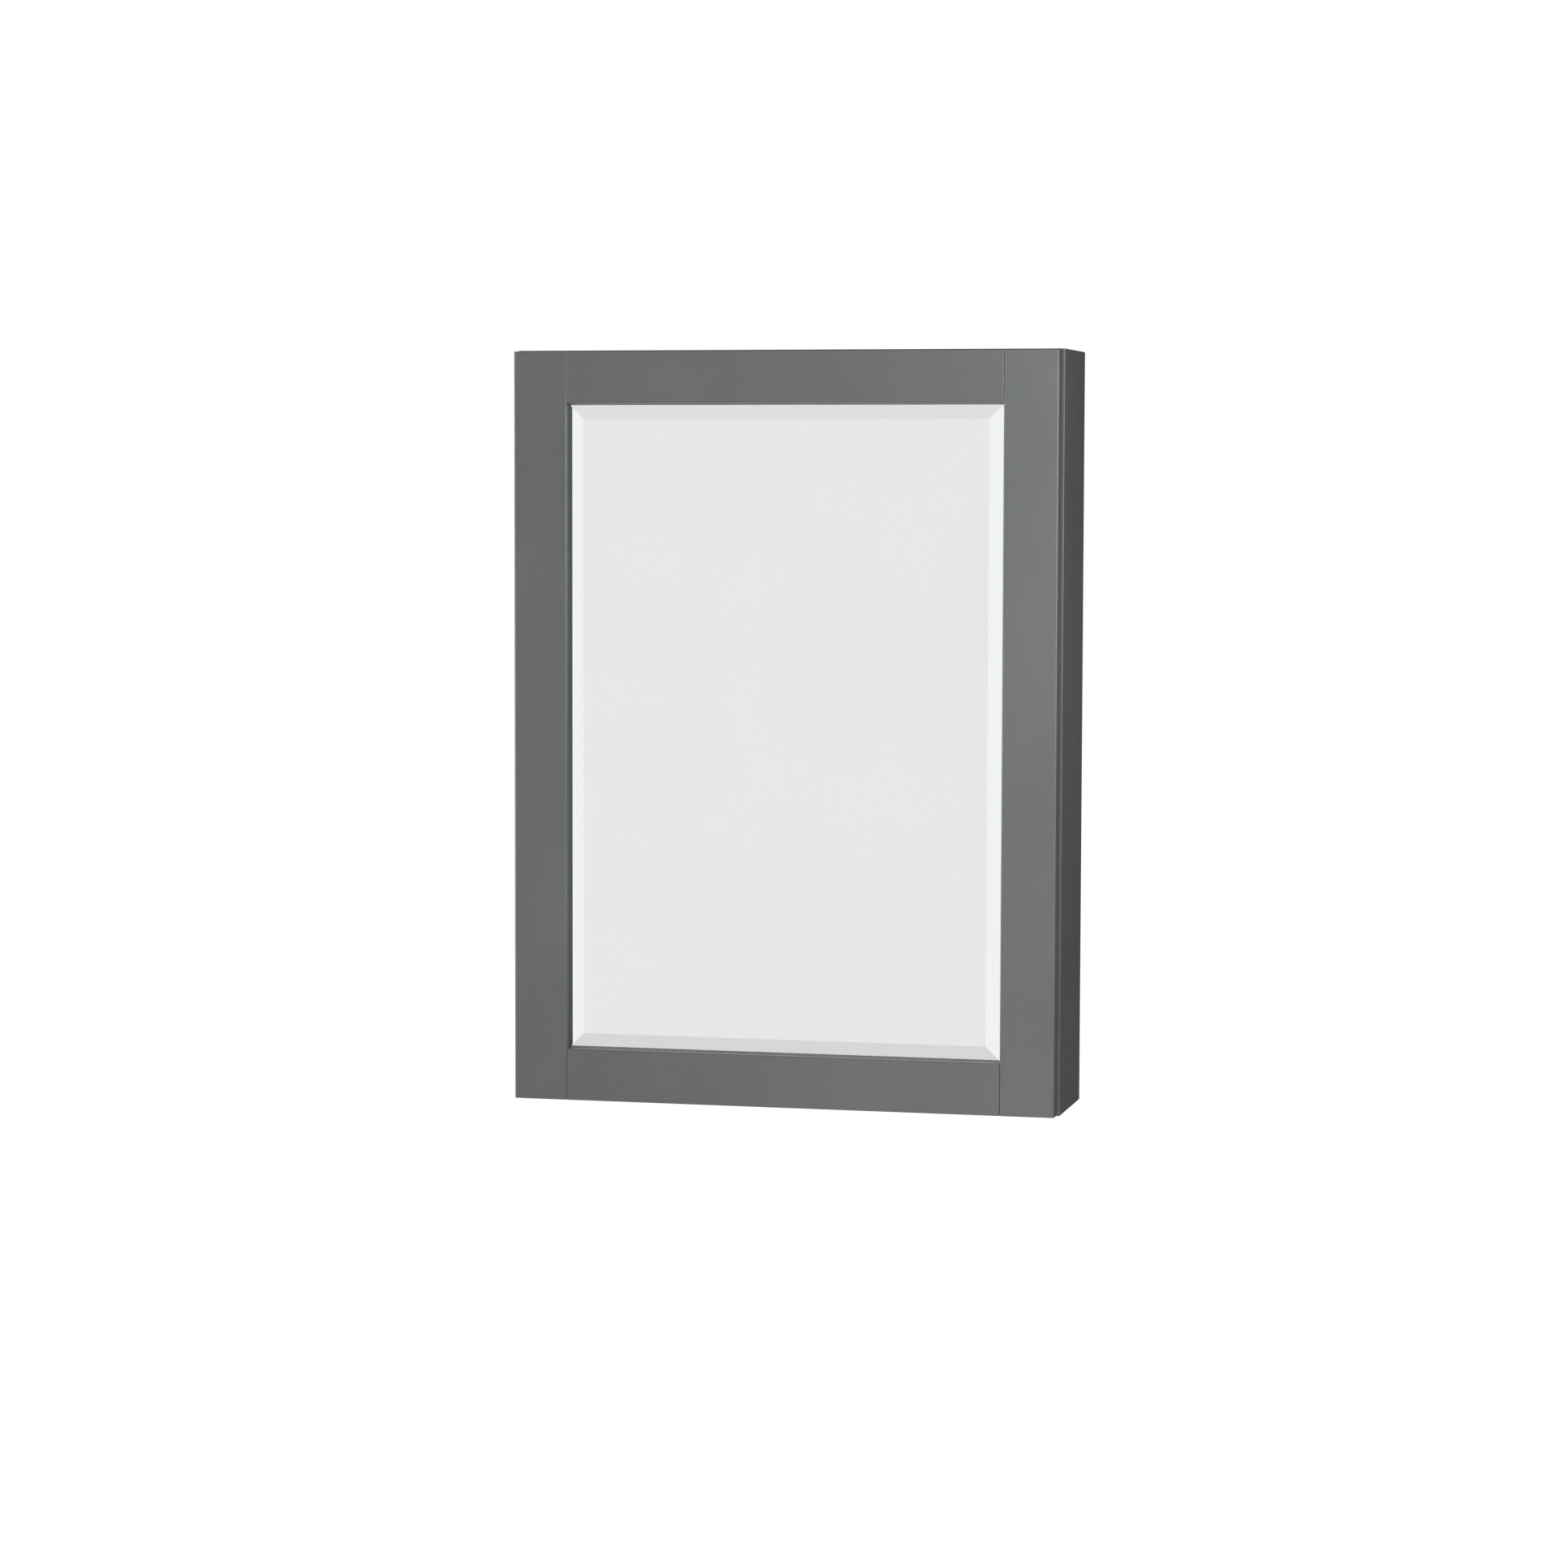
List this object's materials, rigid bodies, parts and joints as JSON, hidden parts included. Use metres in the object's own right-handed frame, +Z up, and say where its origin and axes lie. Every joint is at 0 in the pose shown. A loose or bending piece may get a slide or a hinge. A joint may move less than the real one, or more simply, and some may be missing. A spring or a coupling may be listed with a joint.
{
  "type": "hanging wall cabinet",
  "caption": "Shallow wall-hung cabinet with a framed, bevelled mirror door on concealed cup hinges and adjustable glass shelves.",
  "frame": {"origin": "centre of the four wall-screw holes, on the plane of the wall", "axes": "+Z up, +Y into the wall, +X to the right of a person facing the door, which faces -Y"},
  "size_m": [0.61, 0.155, 0.828],
  "materials": {
    "painted_frame": "satin dark grey lacquer over hardwood frame and MDF panels",
    "bare_wood": "bare sanded pine and beech",
    "shelf_glass": "clear float glass with ground edges",
    "mirror": "silvered float glass with a polished 25 mm bevel",
    "backing_board": "brown hardboard, smooth side out",
    "nickel": "nickel-plated steel",
    "clear_vinyl": "clear soft vinyl"
  },
  "bodies": {
    "case": {"side_panel_left": "painted_frame", "side_panel_right": "painted_frame", "top_panel": "painted_frame", "bottom_panel": "painted_frame", "back_panel": "painted_frame", "hanging_rail_upper": "bare_wood", "hanging_rail_lower": "bare_wood", "case_dowels": "bare_wood", "rail_dowels": "bare_wood", "glass_shelf_upper": "shelf_glass", "glass_shelf_lower": "shelf_glass", "shelf_supports_upper": "nickel", "shelf_supports_lower": "nickel", "shelf_pads_upper": "clear_vinyl", "shelf_pads_lower": "clear_vinyl", "hinge_plate_upper": "nickel", "hinge_plate_lower": "nickel", "hinge_arm_upper": "nickel", "hinge_arm_lower": "nickel", "hinge_plate_screws": "nickel", "hinge_clamp_screws": "nickel", "hinge_adjusting_screws": "nickel"},
    "door": {"door_stile_hinge_side": "painted_frame", "door_stile_opening_side": "painted_frame", "door_rail_top": "painted_frame", "door_rail_bottom": "painted_frame", "mirror": "mirror", "mirror_beads": "bare_wood", "mirror_backing_board": "backing_board", "backing_board_screws": "nickel", "door_bumpers": "clear_vinyl", "hinge_cup_upper": "nickel", "hinge_cup_lower": "nickel", "hinge_cup_screws": "nickel", "hinge_pins": "nickel", "hinge_closing_springs": "nickel"}
  },
  "joints": [
    {"name": "door_swing", "type": "hinge", "parent": "case", "child": "door", "pos_m": [-0.295, -0.141, 0], "axis": [0, 0, -1], "range_deg": [0, 100]}
  ]
}
